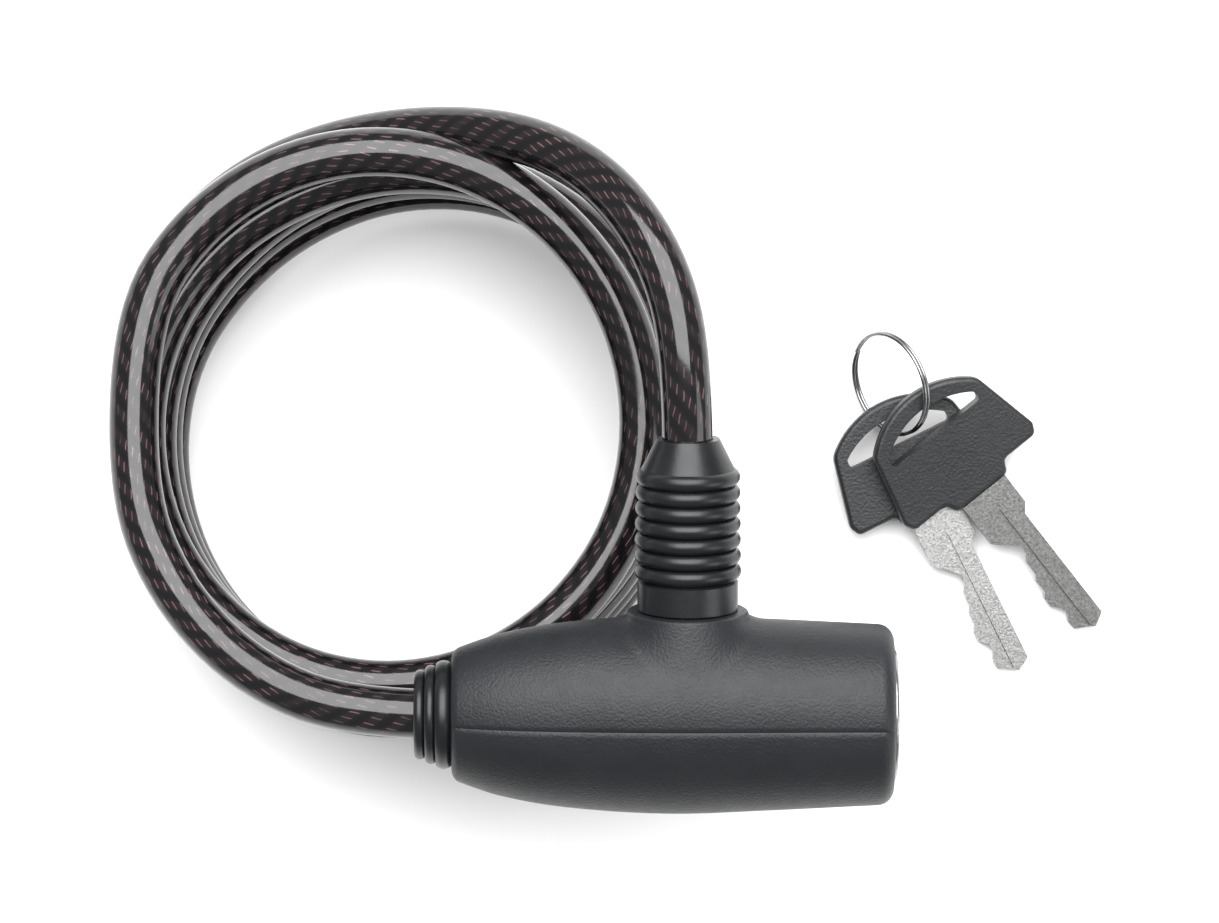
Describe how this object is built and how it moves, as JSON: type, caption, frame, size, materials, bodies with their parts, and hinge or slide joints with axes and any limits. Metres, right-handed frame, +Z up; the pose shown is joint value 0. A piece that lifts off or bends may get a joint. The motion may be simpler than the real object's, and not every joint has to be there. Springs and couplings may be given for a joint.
{
  "type": "keyed coiling cable lock",
  "caption": "Keyed cable lock: a coiled vinyl-covered steel cable between a barrel lock head and a plug-in locking pin, with keys on a split ring.",
  "frame": {"origin": "base centre of the box round the lock head and the keys, on the surface that the coil and keys lie on", "axes": "+X along the lock head towards its keyway, +Y towards the free end of the cable, +Z up"},
  "size_m": [0.1647, 0.1166, 0.0718],
  "materials": {
    "casing_plastic": "fine grained satin black",
    "boot_rubber": "smooth black rubber",
    "cable_vinyl": "glossy smoky vinyl over steel strands",
    "steel": "bright steel",
    "zinc": "die-cast zinc",
    "brass": "turned brass",
    "bezel": "plated bezel",
    "key_metal": "nickel silver",
    "key_plastic": "grained black",
    "seal_rubber": "soft black rubber"
  },
  "bodies": {
    "head": {"collar_side_casing": "casing_plastic", "plain_side_casing": "casing_plastic", "casing_dowels": "steel", "lock_core": "zinc", "cylinder_shell": "brass", "cylinder_pin": "steel", "face_ring": "bezel", "pin_bush": "steel", "collar_seal": "seal_rubber", "ejector_spring": "steel", "fixed_ferrule": "steel", "ferrule_pin": "steel", "fixed_strand_end": "steel", "fixed_end_boot": "boot_rubber", "cable_lead_in": "cable_vinyl", "cable_coil": "cable_vinyl"},
    "plug": {"plug": "brass", "tail_cam": "steel", "retaining_clip": "steel", "wafer_springs": "steel"},
    "wafers": {"wafers": "brass"},
    "locking_plate": {"locking_plate": "steel"},
    "ejector": {"ejector_plunger": "steel"},
    "free_end": {"locking_pin": "steel", "free_ferrule": "steel", "free_strand_end": "steel", "free_end_boot": "boot_rubber", "cable_tail": "cable_vinyl"},
    "key_ring": {"key_ring": "steel"},
    "key_1": {"key_1_blade": "key_metal", "key_1_bow": "key_plastic"},
    "key_2": {"key_2_blade": "key_metal", "key_2_bow": "key_plastic"}
  },
  "joints": [
    {"name": "plug_turn", "type": "hinge", "parent": "head", "child": "plug", "pos_m": [0.00613, -0.02333, 0.057], "axis": [1, 0, 0], "range_deg": [0, 90]},
    {"name": "wafer_slide", "type": "slide", "parent": "plug", "child": "wafers", "axis": [0, -0.1736, 0.9848], "range_m": [0, 0.0009]},
    {"name": "plate_lift", "type": "slide", "parent": "head", "child": "locking_plate", "axis": [0, -0.1736, 0.9848], "range_m": [0, 0.00256]},
    {"name": "pin_pull", "type": "slide", "parent": "head", "child": "free_end", "axis": [0, 0.9848, 0.1736], "range_m": [0, 0.026]},
    {"name": "ejector_slide", "type": "slide", "parent": "head", "child": "ejector", "axis": [0, 0.9848, 0.1736], "range_m": [0, 0.003]},
    {"name": "keys_lift", "type": "slide", "parent": "head", "child": "key_ring", "axis": [0, 0, 1], "range_m": [0, 0.04]},
    {"name": "key_1_swing", "type": "hinge", "parent": "key_ring", "child": "key_1", "pos_m": [0.02543, 0.02268, 0.0102], "axis": [-0.7804, -0.6252, 0], "range_deg": [0, 12]},
    {"name": "key_2_swing", "type": "hinge", "parent": "key_ring", "child": "key_2", "pos_m": [0.02193, 0.02179, 0.00524], "axis": [0.0395, -0.0789, 0.9961], "range_deg": [-12, 5]}
  ],
  "couplings": [
    {"joint": "plate_lift", "follows": "plug_turn", "m_per_rad": 0.0016211},
    {"joint": "ejector_slide", "follows": "pin_pull", "ratio": 0.1153}
  ]
}
